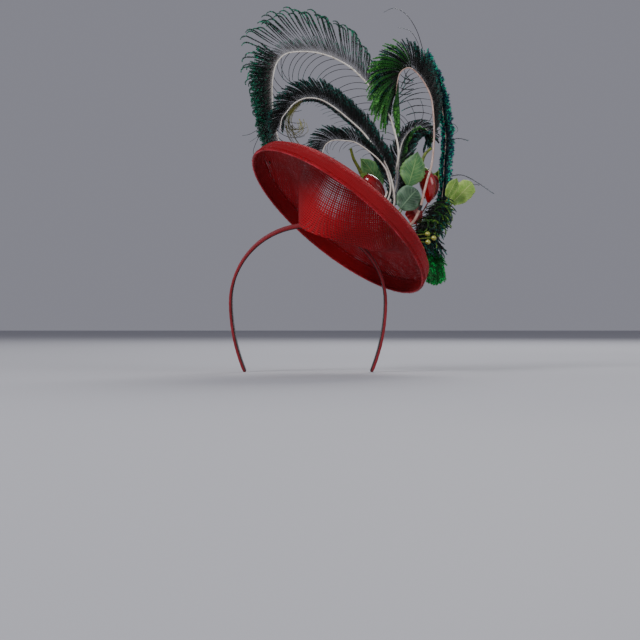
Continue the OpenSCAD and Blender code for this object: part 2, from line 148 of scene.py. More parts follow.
# --- meshes
class Form:
    """Gathers points in mm, faces and per-point values for one piece."""

    def __init__(self):
        self.points, self.faces = [], []
        self.along, self.tone, self.weave = [], [], []

    def add(self, points, faces, along=0.0, tone=0.5, weave=None):
        n, count = len(self.points), len(points)
        self.points += points
        self.faces += [[n + k for k in f] for f in faces]
        self.along += along if isinstance(along, list) else [along] * count
        self.tone += tone if isinstance(tone, list) else [tone] * count
        self.weave += weave if weave else [(0, 0, 0)] * count

    def tube(self, path, radius, count=8, tone=0.5, cap=True):
        """A round rod. radius is a number or a function of the share of its length."""
        n = len(path) - 1
        points, shares = [], []
        for i, p in enumerate(path):
            s, u = square_to(heading(path, i))
            r = radius(i / n) if callable(radius) else radius
            for j in range(count):
                points.append(p + r * spoke(s, u, 2 * math.pi * j / count))
                shares.append(i / n)
        faces = [[i * count + j, i * count + (j + 1) % count,
                  (i + 1) * count + (j + 1) % count, (i + 1) * count + j]
                 for i in range(n) for j in range(count)]
        if cap:
            faces.append(list(range(count))[::-1])
            faces.append([n * count + j for j in range(count)])
        self.add(points, faces, shares, tone)

    def grid(self, rows, along=0.0, tone=0.5, weave=None, closed=False):
        """A sheet of faces through rows of points. closed joins the last row to the first."""
        m, n = len(rows[0]), len(rows)
        points = [p for row in rows for p in row]
        faces = [[i * m + j, i * m + j + 1, (i + 1) % n * m + j + 1, (i + 1) % n * m + j]
                 for i in range(n if closed else n - 1) for j in range(m - 1)]
        self.add(points, faces, along, tone, weave)

    def make(self, name, material, slot, replaces=(), body=HAT):
        """The finished piece, in metres, with its material and its place in the assembly."""
        mesh = bpy.data.meshes.new(name)
        mesh.from_pydata([p * MM for p in self.points], [], self.faces)
        mesh.polygons.foreach_set("use_smooth", [True] * len(self.faces))
        for key, values in (("along", self.along), ("tone", self.tone)):
            mesh.attributes.new(key, "FLOAT", "POINT").data.foreach_set("value", values)
        flat = [x for w in self.weave for x in w]
        mesh.attributes.new("weave", "FLOAT_VECTOR", "POINT").data.foreach_set("vector", flat)
        mesh.materials.append(material)
        mesh.update()
        piece = bpy.data.objects.new(name, mesh)
        bpy.context.scene.collection.objects.link(piece)
        if body:
            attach(piece, body)
        if replaces:
            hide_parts(*replaces)
        return piece


# --- materials
def rgb(r, g, b):
    """A linear colour from 0 to 255 display values."""
    return tuple((c / 255) ** 2.2 for c in (r, g, b)) + (1.0,)


class Shader:
    """A node material, built from its Principled shader backwards."""

    def __init__(self, name, roughness=0.6, **fixed):
        self.material = bpy.data.materials.new(name)
        self.material.use_nodes = True
        self.tree = self.material.node_tree
        self.surface = self.tree.nodes["Principled BSDF"]
        self.surface.inputs["Roughness"].default_value = roughness
        for key, value in fixed.items():
            self.surface.inputs[key.replace("_", " ")].default_value = value
        self.object = self.node("ShaderNodeTexCoord").outputs["Object"]

    def node(self, kind, **settings):
        made = self.tree.nodes.new(kind)
        for key, value in settings.items():
            setattr(made, key, value)
        return made

    def feed(self, socket, value):
        if isinstance(value, bpy.types.NodeSocket):
            self.tree.links.new(value, socket)
        else:
            socket.default_value = value

    def math(self, operation, a, b=0.0, c=0.0):
        made = self.node("ShaderNodeMath", operation=operation)
        for socket, value in zip(made.inputs, (a, b, c)):
            self.feed(socket, value)
        return made.outputs[0]

    def ease(self, value, low, high, start=0.0, end=1.0):
        made = self.node("ShaderNodeMapRange", interpolation_type="SMOOTHSTEP")
        for socket, x in zip(made.inputs, (value, low, high, start, end)):
            self.feed(socket, x)
        return made.outputs[0]

    def noise(self, scale, detail=2.0, stretch=(1, 1, 1), source=None):
        place = self.node("ShaderNodeMapping")
        self.feed(place.inputs["Vector"], source or self.object)
        place.inputs["Scale"].default_value = stretch
        made = self.node("ShaderNodeTexNoise")
        self.feed(made.inputs["Vector"], place.outputs[0])
        made.inputs["Scale"].default_value = scale
        made.inputs["Detail"].default_value = detail
        return made.outputs["Fac"]

    def value(self, name):
        return self.node("ShaderNodeAttribute", attribute_name=name).outputs["Fac"]

    def vector(self, name):
        return self.node("ShaderNodeAttribute", attribute_name=name).outputs["Vector"]

    def mix(self, share, a, b):
        made = self.node("ShaderNodeMix", data_type="RGBA")
        self.feed(made.inputs[0], share)
        self.feed(made.inputs[6], a)
        self.feed(made.inputs[7], b)
        return made.outputs[2]

    def ramp(self, value, *stops):
        made = self.node("ShaderNodeValToRGB")
        self.feed(made.inputs[0], value)
        bar = made.color_ramp.elements
        while len(bar) < len(stops):
            bar.new(0.5)
        for element, (place, colour) in zip(bar, stops):
            element.position, element.color = place, colour
        return made.outputs[0]

    def colour(self, socket):
        self.feed(self.surface.inputs["Base Color"], socket)

    def rough(self, socket):
        self.feed(self.surface.inputs["Roughness"], socket)

    def bump(self, height, distance, strength=1.0):
        made = self.node("ShaderNodeBump")
        made.inputs["Strength"].default_value = strength
        made.inputs["Distance"].default_value = distance
        self.feed(made.inputs["Height"], height)
        self.feed(self.surface.inputs["Normal"], made.outputs[0])

    def holes(self, solid):
        """Lets what is behind show where solid is 0."""
        clear = self.node("ShaderNodeBsdfTransparent")
        join = self.node("ShaderNodeMixShader")
        self.feed(join.inputs[0], solid)
        self.feed(join.inputs[1], clear.outputs[0])
        self.feed(join.inputs[2], self.surface.outputs[0])
        self.feed(self.tree.nodes["Material Output"].inputs["Surface"], join.outputs[0])


def straw(name, pitch, cover, dark, mid, light, see_through=True):
    """Open woven straw. weave holds the flat sheet's place in mm, and a tone under 0.5 thins it."""
    slubs, rags, thinning, soft = 0.2, 0.12, 0.5, 0.05  # shares of the pitch
    s = Shader(name, 0.6, Specular_IOR_Level=0.25)
    sheet = s.vector("weave")
    wander = s.node("ShaderNodeMix", data_type="VECTOR")
    slow = s.node("ShaderNodeTexNoise")
    s.feed(slow.inputs["Vector"], sheet)
    slow.inputs["Scale"].default_value = 0.12
    slow.inputs["Detail"].default_value = 3
    wander.inputs[0].default_value = 0.012
    s.feed(wander.inputs[4], sheet)
    far = s.node("ShaderNodeVectorMath", operation="SCALE")
    s.feed(far.inputs[0], slow.outputs["Color"])
    far.inputs["Scale"].default_value = 60
    s.feed(wander.inputs[5], far.outputs[0])
    parts = s.node("ShaderNodeSeparateXYZ")
    s.feed(parts.inputs[0], wander.outputs[1])
    masks, crowns = [], []
    for k, axis in enumerate("XY"):
        line = s.math("DIVIDE", parts.outputs[axis], pitch)
        off = s.math("ABSOLUTE", s.math("SUBTRACT", s.math("FRACT", line), 0.5))
        count = s.math("FLOOR", line)
        slub = s.node("ShaderNodeTexWhiteNoise", noise_dimensions="1D")
        s.feed(slub.inputs["W"], count)
        uneven = s.noise(0.35, 2, (1, 0.25, 1) if k else (0.25, 1, 1), sheet)
        least = cover / 2 - slubs / 2 - rags / 4
        width = s.math("MULTIPLY_ADD", slub.outputs["Value"], slubs, least)
        width = s.math("MULTIPLY_ADD", uneven, rags, width)
        width = s.math("MULTIPLY_ADD", s.value("tone"), thinning, s.math("SUBTRACT", width, thinning / 2))
        masks.append(s.ease(s.math("SUBTRACT", width, off), -soft, soft))
        crowns.append(s.math("SUBTRACT", 1.0, s.math("MULTIPLY", off, 2.0)))
    solid = s.math("MAXIMUM", *masks)
    if see_through:
        s.holes(solid)
    threads = [s.math("MULTIPLY", crown, mask) for crown, mask in zip(crowns, masks)]
    relief = s.math("MAXIMUM", *threads)
    # The colour follows the threads' relief as well as a random patchy tone: thread crowns are painted
    # lighter and thread edges darker, a painted shade of the round threads.
    patch = s.noise(22, 4)
    shade = s.math("MULTIPLY_ADD", patch, 0.6, s.math("MULTIPLY", relief, 0.45))
    s.colour(s.ramp(shade, (0.25, dark), (0.55, mid), (0.9, light)))
    s.bump(relief, 0.0006, 1.0)
    return s.material


def cloth(name, colours, scale, sheen, roughness):
    """Fine plain cloth with a soft change of tone."""
    s = Shader(name, roughness, Sheen_Weight=sheen, Sheen_Roughness=0.4)
    parts = s.node("ShaderNodeSeparateXYZ")
    s.feed(parts.inputs[0], s.object)
    waves = []
    for a, b in (("X", "Z"), ("Y", "Z")):
        both = s.math("ADD", parts.outputs[a], parts.outputs[b])
        waves.append(s.math("SINE", s.math("MULTIPLY", both, scale)))
    threads = s.math("MULTIPLY", waves[0], waves[1])
    tone = s.math("MULTIPLY_ADD", threads, 0.12, s.noise(60, 4))
    s.colour(s.ramp(tone, (0.3, colours[0]), (0.5, colours[1]), (0.72, colours[2])))
    s.bump(threads, 0.00025, 0.5)
    return s.material


def herl(name, root, shaft, dark, tip, painted_glint, painted_glint_share=0.45):
    """Feather barbs: pale at the quill, dark along them, with painted glints in bright specks towards their
    ends.
    """
    s = Shader(name, 0.5, Specular_IOR_Level=0.3)
    along, tone = s.value("along"), s.value("tone")
    base = s.ramp(along, (0.0, root), (0.2, shaft), (0.42, dark), (0.72, dark), (1.0, tip))
    # Bright specks towards the barbs' ends are painted glints of the herl's sheen.
    glint_specks = s.ease(s.noise(520, 3), 0.5, 0.6)
    late = s.ease(along, 0.3, 0.95)
    share = s.math("MULTIPLY", s.math("MULTIPLY", glint_specks, painted_glint_share), late)
    share = s.math("MULTIPLY", share, s.math("MULTIPLY_ADD", tone, 1.3, 0.35))
    s.colour(s.mix(share, base, painted_glint))
    facing = s.node("ShaderNodeLayerWeight")
    s.rough(s.ease(facing.outputs["Facing"], 0.1, 0.9, 0.5, 0.3))
    return s.material


VEINS, VEIN_SLANT = 9.0, 2.4


def leafy(name, dark, mid, light, veins):
    """Printed cloth leaf with veins. weave holds the place across and along the leaf."""
    s = Shader(name, 0.45, Coat_Weight=0.15, Coat_Roughness=0.4)
    parts = s.node("ShaderNodeSeparateXYZ")
    s.feed(parts.inputs[0], s.vector("weave"))
    across = s.math("ABSOLUTE", parts.outputs["X"])
    rib = s.ease(across, 0.03, 0.07, 1.0, 0.0)
    slant = s.math("SUBTRACT", s.math("MULTIPLY", parts.outputs["Y"], VEINS),
                   s.math("MULTIPLY", across, VEIN_SLANT))
    near = s.math("ABSOLUTE", s.math("SUBTRACT", s.math("FRACT", slant), 0.5))
    side = s.ease(near, 0.04, 0.12, 0.7, 0.0)
    vein = s.math("MAXIMUM", rib, side)
    patch = s.noise(90, 4)
    edge = s.ease(across, 0.6, 1.0, 0.0, 0.25)
    body = s.ramp(s.math("ADD", patch, edge), (0.3, dark), (0.52, mid), (0.78, light))
    s.colour(s.mix(s.math("MULTIPLY", vein, 0.55), body, veins))
    fine = s.math("MULTIPLY_ADD", s.noise(1500, 2), 0.35, s.math("MULTIPLY", vein, -0.9))
    s.bump(fine, 0.0006, 0.8)
    s.rough(s.ease(patch, 0.3, 0.7, 0.38, 0.58))
    return s.material


def plain(name, colours, roughness, scale=300, bump=0.0002, **fixed):
    """A quiet surface with grain and a little change of tone."""
    s = Shader(name, roughness, **fixed)
    grain = s.noise(scale, 4)
    s.colour(s.ramp(grain, (0.3, colours[0]), (0.7, colours[1])))
    s.rough(s.ease(s.noise(scale / 4, 3), 0.3, 0.7, max(0.03, roughness - 0.06), roughness + 0.08))
    s.bump(grain, bump, 0.4)
    return s.material


STRAW = straw("straw", 2.0, 0.84, rgb(92, 1, 13), rgb(150, 3, 20), rgb(192, 22, 38))
# The bowl's cap takes a darker copy of the brim's straw, painted shade for the cap on the underside of the
# hat.
CROWN_STRAW = straw("crown_straw", 2.0, 0.86, rgb(84, 2, 12), rgb(132, 3, 17), rgb(170, 20, 34))
BINDING = straw("binding_straw", 1.4, 0.98, rgb(100, 1, 14), rgb(144, 4, 21), rgb(174, 12, 30), False)
# A lighter, pinker red than the binding: a painted highlight along the rim's rolled edge, its loose fibres
# and its stitches.
RIM_PAINTED_HIGHLIGHT = cloth("rim_painted_highlight", (rgb(134, 4, 20), rgb(178, 18, 38), rgb(208, 60, 76)), 3000, 0.1, 0.8)
BAND_CLOTH = cloth("band_cloth", (rgb(128, 14, 28), rgb(142, 20, 34), rgb(156, 32, 46)), 5200, 0.2, 0.55)
# The lining is near black. This is partly the band's own dark lining and partly painted shade of the gap
# between the band and the head.
DARK_LINING_AND_SHADE = cloth("dark_lining_and_painted_shade", (rgb(6, 6, 8), rgb(14, 13, 16), rgb(26, 24, 28)), 4200, 0.5, 0.9)
THREAD = cloth("thread", (rgb(110, 10, 18), rgb(160, 22, 30), rgb(200, 50, 56)), 9000, 0.3, 0.6)
DARK_THREAD = cloth("dark_thread", (rgb(10, 10, 12), rgb(22, 20, 22), rgb(40, 36, 40)), 9000, 0.3, 0.6)
FELT = plain("felt", (rgb(70, 4, 8), rgb(118, 10, 18)), 0.95, 700, 0.0008, Sheen_Weight=0.2)
SPRING = plain("spring_strip", (rgb(205, 205, 200), rgb(226, 226, 222)), 0.45, 120)
RIM_WIRE = plain("rim_wire", (rgb(96, 94, 92), rgb(140, 138, 134)), 0.4, 900, Metallic=1.0)
QUILL = plain("quill", (rgb(205, 196, 180), rgb(238, 234, 226)), 0.32, 260, 0.0001, Coat_Weight=0.3)
TAN_QUILL = plain("tan_quill", (rgb(160, 122, 112), rgb(205, 178, 164)), 0.35, 260, 0.0001, Coat_Weight=0.3)
STEM = plain("stem", (rgb(58, 70, 14), rgb(124, 140, 44)), 0.5, 500, 0.0004)
LIME_STEM = plain("lime_stem", (rgb(66, 96, 20), rgb(120, 150, 46)), 0.5, 500, 0.0004)
PEPPER = plain("pepper", (rgb(118, 6, 12), rgb(172, 16, 22)), 0.16, 60, 0.0003, Coat_Weight=0.8)
BERRY = plain("berry", (rgb(120, 130, 40), rgb(196, 196, 96)), 0.35, 300, 0.0003, Coat_Weight=0.3)
LEAF_DARK = leafy("leaf_dark", rgb(34, 62, 44), rgb(62, 96, 70), rgb(104, 136, 108), rgb(128, 158, 124))
LEAF_GREEN = leafy("leaf_green", rgb(38, 84, 44), rgb(66, 120, 66), rgb(112, 160, 92), rgb(146, 182, 112))
LEAF_LIME = leafy("leaf_lime", rgb(84, 128, 42), rgb(126, 166, 68), rgb(170, 200, 100), rgb(196, 214, 130))
PETAL = leafy("petal", rgb(96, 6, 14), rgb(150, 18, 28), rgb(206, 58, 62), rgb(120, 10, 20))
# The last colour of each herl material is its painted glint, and the number after it is how much of it
# shows.
HERL_GREY = herl("herl_grey", rgb(150, 145, 140), rgb(70, 68, 66), rgb(4, 8, 8), rgb(0, 62, 50),
                 rgb(0, 140, 104), 0.7)
HERL_DARK = herl("herl_dark", rgb(40, 38, 34), rgb(8, 11, 10), rgb(3, 8, 7), rgb(0, 40, 38),
                 rgb(4, 112, 98), 0.6)
HERL_GREEN = herl("herl_green", rgb(12, 36, 10), rgb(8, 52, 14), rgb(16, 78, 22), rgb(48, 120, 44),
                  rgb(104, 186, 72), 0.6)
HERL_BLUE = herl("herl_blue", rgb(4, 20, 20), rgb(2, 24, 30), rgb(2, 36, 52), rgb(4, 56, 100),
                 rgb(20, 210, 160), 1.0)
HERL_OLIVE = herl("herl_olive", rgb(70, 66, 20), rgb(96, 96, 24), rgb(52, 52, 14),
                  rgb(150, 150, 52), rgb(190, 186, 80))
HERL_MOSS = herl("herl_moss", rgb(20, 40, 12), rgb(30, 66, 18), rgb(24, 74, 20),
                 rgb(92, 132, 44), rgb(150, 190, 70))
EMERALD = herl("emerald", rgb(4, 30, 16), rgb(0, 60, 28), rgb(0, 88, 38), rgb(4, 124, 54),
               rgb(30, 220, 90), 0.8)


# --- camera, floor and light
VIEW_AT = Vector((0.0114, 0.0, -0.0882))
VIEW_DISTANCE = 1.5
VIEW_WIDTH = 0.608
SENSOR = 36.0

camera_data = bpy.data.cameras.new("camera")
camera_data.sensor_width = SENSOR
camera_data.lens = SENSOR * VIEW_DISTANCE / VIEW_WIDTH
camera = bpy.data.objects.new("camera", camera_data)
camera.location = VIEW_AT + Vector((0, -VIEW_DISTANCE, 0))
camera.rotation_euler = Euler((math.radians(90), 0, 0))
bpy.context.scene.collection.objects.link(camera)
bpy.context.scene.camera = camera


def board(name, corners, colour):
    mesh = bpy.data.meshes.new(name)
    mesh.from_pydata(corners, [], [[0, 1, 2, 3]])
    piece = bpy.data.objects.new(name, mesh)
    bpy.context.scene.collection.objects.link(piece)
    piece.data.materials.append(plain(name, (colour, colour), 0.8, 5, 0.0))


FLOOR_HALF = 6
floor_z = cad_box[0][2] - 0.0005
corners = [(x * FLOOR_HALF, y * FLOOR_HALF, floor_z) for x, y in ((-1, -1), (1, -1), (1, 1), (-1, 1))]
board("floor", corners, rgb(176, 176, 182))


def lamp(name, place, aim, size, power):
    data = bpy.data.lights.new(name, "AREA")
    data.shape, data.size, data.energy = "DISK", size, power
    made = bpy.data.objects.new(name, data)
    made.location = place
    made.rotation_euler = (Vector(aim) - Vector(place)).to_track_quat("-Z", "Y").to_euler()
    bpy.context.scene.collection.objects.link(made)


lamp("key", (-1.3, -1.5, 1.5), (0.02, 0, 0.02), 1.0, 40)
lamp("fill", (1.8, -1.2, 0.7), (0.02, 0, 0.02), 1.4, 14)
lamp("back", (0.6, 1.8, 1.5), (0.02, 0, 0.05), 1.2, 30)
world = bpy.data.worlds.new("world")
world.use_nodes = True
world.node_tree.nodes["Background"].inputs["Color"].default_value = rgb(140, 140, 150)
world.node_tree.nodes["Background"].inputs["Strength"].default_value = 0.9
bpy.context.scene.world = world


# --- headband
def lean(p):
    c, s = math.cos(BAND_LEAN), math.sin(BAND_LEAN)
    return Vector((p[0], p[1] * c - p[2] * s, p[1] * s + p[2] * c))


ARM_LENGTH = ARM_R * ARM_SWEEP
ARCH_LENGTH = BAND_R * math.pi / 2
JOIN_X = 25.0  # where the two halves of the cover meet, under the hat
JOIN_GAP = 0.05
BAND_STEPS = 150


def band_point(length, side):
    """The lining's inner face, and its outward direction, at a length from the top."""
    if length <= ARCH_LENGTH:
        a = length / BAND_R
        out = Vector((side * math.sin(a), 0, math.cos(a)))
        return Vector((0, 0, -BAND_R)) + BAND_R * out, out
    a = (length - ARCH_LENGTH) / ARM_R
    out = Vector((side * math.cos(a), 0, -math.sin(a)))
    return Vector((side * (BAND_R - ARM_R), 0, -BAND_R)) + ARM_R * out, out


def band_width(z, wide, narrow):
    low = -BAND_R - ARM_R * math.sin(ARM_SWEEP) + narrow / 2
    if z > -BAND_R:
        return wide
    share = min(1.0, (z + BAND_R) / (low + BAND_R))
    w = wide + (narrow - wide) * share
    if z < low:
        w = narrow * math.sqrt(max(0.02, 1 - ((low - z) / (narrow / 2)) ** 2))
    return w


def band_section(w, low, high, roundness):
    """Half-round edged strip: points (across, out) once round."""
    section, r = [], min(roundness, (high - low) / 2 - 0.01)
    for cx, cy, start in ((w / 2 - r, low + r, -90), (w / 2 - r, high - r, 0),
                          (-w / 2 + r, high - r, 90), (-w / 2 + r, low + r, 180)):
        for k in range(5):
            a = math.radians(start + 22.5 * k)
            section.append((cx + r * math.cos(a), cy + r * math.sin(a)))
        if start == 0:
            section += [(w / 2 * f, high + 0.12 * (1 - f * f)) for f in (0.6, 0.2, -0.2, -0.6)]
    return section


def half_band(name, side, start, nodes, wide, narrow, low, high, roundness, material, slot, seam):
    """One strip from the join under the hat to the end of one arm, bent about that arm's hinge."""
    end = ARCH_LENGTH + ARM_LENGTH - seam
    rows, marks = [], []
    for i in range(BAND_STEPS + 1):
        length = start + (end - start) * i / BAND_STEPS
        middle, out = band_point(abs(length), side if length >= 0 else -side)
        w = band_width(middle.z, wide, narrow)
        fold = 0.05 * math.sin(length * 0.9) + 0.08 * noise.noise(Vector((length * 0.12, side, 0)))
        row = [lean(middle + DEPTH * a + out * (b + fold * (b - low) / (high - low)))
               for a, b in band_section(w, low, high, roundness)]
        rows.append(row + row[:1])
        marks.append(length)
    form = Form()
    form.grid(rows, weave=[(m, j, 0) for m in marks for j in range(len(rows[0]))])
    for row, flip in ((rows[0], True), (rows[-1], False)):
        ring = row[:-1]
        form.add(ring, [list(range(len(ring)))[::-1 if flip else 1]])
    piece = form.make(name, material, slot, nodes, body=None)
    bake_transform(piece)


STRIPS = {
    "cover": (BAND_W, TIP_W, LINING_T, BAND_T, 0.9, BAND_CLOTH, "band_fabric", 0),
    "lining": (BAND_W - 2, TIP_W - 2, 0.0, LINING_T, 0.25, DARK_LINING_AND_SHADE, "band_lining", 1),
}
join = BAND_R * math.asin(JOIN_X / BAND_R)
for part, strip in STRIPS.items():
    for side, nodes in ((-1, ("top", "left")), (1, ("right",))):
        hand = nodes[-1]
        half_band(f"band_{part}_{hand}_half", side, side * join + JOIN_GAP,
                  [f"band_{part}_{node}" for node in nodes], *strip)

# --- hat shell
HAT_TURN = Euler((-HAT_PITCH, HAT_TILT, 0)).to_matrix()
seat_s = BAND_T + SEAT_GAP - SEAT_R
SEAT_C = Vector((0, -seat_s * math.sin(BAND_LEAN), seat_s * math.cos(BAND_LEAN)))
DOME = HAT_TURN.transposed() @ (SEAT_C - HAT_ORIGIN)
wall_top = Vector((BOWL_R - 4.5, BRIM_H - 4.6))
wall_way = Vector((-17, -22.5)).normalized()
SHELL = curve([Vector(q) for q in (
    (BRIM_R, EDGE_WIRE_R), (BRIM_R - 1.2, 7), (BRIM_R - 4, BRIM_H - 7), (BRIM_R - 9, BRIM_H - 2.5),
    (BRIM_R - 16, BRIM_H), (BOWL_R + 9, BRIM_H + 0.4), (BOWL_R + 2, BRIM_H - 0.6), wall_top)], 5)


def hat_point(q, a, off=0.0):
    """A point of the hat's section turned about its axis, in the row's frame."""
    r = q[0] + off
    return HAT_ORIGIN + HAT_TURN @ Vector((r * math.cos(a), r * math.sin(a), q[1]))


def reach(a):
    """How far down the straight wall the dome lies, at one angle round the hat."""
    o = Vector((wall_top.x * math.cos(a), wall_top.x * math.sin(a), wall_top.y)) - DOME
    d = Vector((wall_way.x * math.cos(a), wall_way.x * math.sin(a), wall_way.y))
    k = o.dot(d)
    return -k - math.sqrt(max(0.0, k * k - o.dot(o) + DOME_R * DOME_R))


def section_lengths(line):
    total, lengths = 0.0, [0.0]
    for a, b in zip(line, line[1:]):
        total += (b - a).length
        lengths.append(total)
    return lengths


WEAVE_TURN = math.radians(24)  # how far the straw is turned on the block
TURNS = 200
WALL_ROWS = 22


def weave_at(rho, a):
    return (rho * math.cos(a + WEAVE_TURN), rho * math.sin(a + WEAVE_TURN), 0)


def shell_rows():
    """The brim and bowl as radial rows, with their places on the flat straw."""
    lengths = section_lengths(SHELL)
    outer = lengths[-1] + BOWL_R
    rows, marks = [], []
    for k in range(TURNS):
        a = 2 * math.pi * k / TURNS
        hand = 0.45 * noise.noise(Vector((math.cos(a) * 1.6, math.sin(a) * 1.6, 4)))
        row, mark = [], []
        for q, done in zip(SHELL, lengths):
            low = min(1.0, done / 20)
            row.append(hat_point(q + Vector((0, hand * low)), a))
            mark.append(weave_at(outer - done, a))
        depth = reach(a)
        for j in range(1, WALL_ROWS + 1):
            down = depth * j / WALL_ROWS
            fade = 1 - j / WALL_ROWS
            row.append(hat_point(wall_top + wall_way * down + Vector((0, hand * fade)), a))
            mark.append(weave_at(outer - lengths[-1] - down, a))
        rows.append(row)
        marks.append(mark)
    return rows, [m for mark in marks for m in mark]


SHEER_X, SHEER_Z = 24, 27  # middle of the patch of the bowl's wall that lets the light through
SHEER_HALF_X, SHEER_HALF_Z = 15, 20
SHEER_DEPTH = 0.36


def sheer(p):
    """The tone that thins the straw in the sheer patch, on the side towards the camera."""
    if p.y > 0:
        return 0.5
    away = math.hypot((p.x - SHEER_X) / SHEER_HALF_X, (p.z - SHEER_Z) / SHEER_HALF_Z)
    return 0.5 - SHEER_DEPTH * math.exp(-away ** 4)


rows, marks = shell_rows()
brim = Form()
brim.grid(rows, tone=[sheer(p) for row in rows for p in row], weave=marks, closed=True)
brim.make("straw_brim", STRAW, "straw_weave", ("brim",))

# Cap of the bowl: part of the dome, in rings out from its middle
CAP_RINGS = 16
CAP_HOLE = 0.02  # the first ring's place, in rings, so that no two points are the same
edge_dirs = []
for k in range(TURNS):
    a = 2 * math.pi * k / TURNS
    edge_dirs.append((hat_point(wall_top + wall_way * reach(a), a, -0.3) - SEAT_C).normalized())
middle_dir = sum(edge_dirs, Vector()).normalized()
crown = Form()
crown_rows, crown_marks = [], []
for k, d in enumerate(edge_dirs):
    angle = middle_dir.angle(d)
    axis = middle_dir.cross(d).normalized()
    row = []
    for j in range(CAP_RINGS):
        share = (j + CAP_HOLE) / (CAP_RINGS - 1 + CAP_HOLE)
        turned = Matrix.Rotation(angle * share, 3, axis) @ middle_dir
        row.append(SEAT_C + DOME_R * turned)
        crown_marks.append(weave_at(SEAT_R * angle * share, 2 * math.pi * k / TURNS))
    crown_rows.append(row)
crown.grid(crown_rows, weave=crown_marks, closed=True)
crown.make("straw_crown", CROWN_STRAW, "straw_weave", ("crown",))

# Bias binding folded over the rim wire, with its rolled edge, stitches and loose fibres
random.seed(11)
binding = Form()
lip = [Vector((BRIM_R, 0.0))] + [q for q in SHELL if q.y < BINDING_H]
lip_lengths = section_lengths(lip)
BINDING_TURNS, RIDGE_TURNS, STITCHES, FIBRES = 360, 480, 126, 2200
rows, marks = [], []
for k in range(BINDING_TURNS):
    a = 2 * math.pi * k / BINDING_TURNS
    ruck = noise.noise(Vector((math.cos(a) * 14, math.sin(a) * 14, 1)))
    row, mark = [], []
    for side in (1, -1):
        order = range(len(lip) - 1, 0, -1) if side > 0 else range(1, len(lip))
        for i in order:
            t = (lip[min(i + 1, len(lip) - 1)] - lip[i - 1]).normalized()
            n = Vector((-t.y, t.x)) * side
            swell = 0.98 + 0.1 * ruck + 0.12 * math.sin(lip_lengths[i] * 1.2 + 2 * ruck)
            row.append(hat_point(lip[i] + n * swell, a))
            mark.append(weave_at(150 + side * lip_lengths[i], a))
        if side > 0:
            for j in range(7):
                b = math.radians(180 + 30 * j)
                q = lip[0] + EDGE_WIRE_R * Vector((-math.cos(b), math.sin(b)))
                row.append(hat_point(q, a))
                mark.append(weave_at(150, a))
    rows.append(row)
    marks += mark
binding.grid(rows, weave=marks, closed=True)
binding.make("bias_binding", BINDING, "binding", ("edge_binding",))

# The ridge, fibres and stitches take the lighter pink of the painted highlight along the rim edge.
fuzz = Form()
ridge = [hat_point((BRIM_R, -0.9), 2 * math.pi * k / RIDGE_TURNS) for k in range(RIDGE_TURNS)]
ridge.append(ridge[0])
fuzz.tube(ridge, lambda f: 0.75 + 0.15 * noise.noise(Vector((f * 300, 0, 0))), 8, cap=False)
for k in range(FIBRES):
    a = random.uniform(0, 2 * math.pi)
    b = math.radians(random.gauss(-90, 70))
    root = Vector((BRIM_R, 0.0)) + EDGE_WIRE_R * Vector((math.cos(b), math.sin(b)))
    start = hat_point(root, a)
    out = (hat_point(root + Vector((math.cos(b), math.sin(b))), a) - start).normalized()
    around = (hat_point(root, a + 0.01) - start).normalized() * random.choice((-1, 1))
    size = random.uniform(0.8, 2.6)
    hair = [start + out * size * 0.5 * f + around * size * f * f for f in (0, 0.5, 1)]
    fuzz.tube(hair, lambda f: 0.07 * (1 - 0.7 * f), 3, random.random(), cap=False)
t = (lip[-1] - lip[-3]).normalized()
for side in (1, -1):
    n = Vector((-t.y, t.x)) * side
    for k in range(STITCHES):
        a = 2 * math.pi * k / STITCHES
        stitch = [hat_point(lip[-2] + n * (0.9 + 0.25 * math.sin(math.pi * f)), a + 0.028 * f)
                  for f in (0, 0.33, 0.66, 1)]
        fuzz.tube(stitch, 0.22, 6, 0.3)
fuzz.make("rim_edge_and_stitches", RIM_PAINTED_HIGHLIGHT, "binding")

# Felt mound that the stems are pushed into
mound = Form()
up = (MOUND_C - SEAT_C).normalized()
over = up.cross(DEPTH).normalized()
rows = []
for i in range(49):
    ray = spoke(over, up.cross(over), 2 * math.pi * i / 48)
    row = []
    for j in range(17):
        b = math.pi / 2 * j / 16 * 1.05
        d = math.cos(b) * up + math.sin(b) * ray
        r = MOUND_R * (0.985 + 0.03 * noise.noise(d * 4) + 0.008 * noise.noise(d * 26))
        row.append(MOUND_C + r * d)
    rows.append(row)
mound.grid(rows)
mound.make("felt_mound_cover", FELT, "felt", ("felt_mound",))

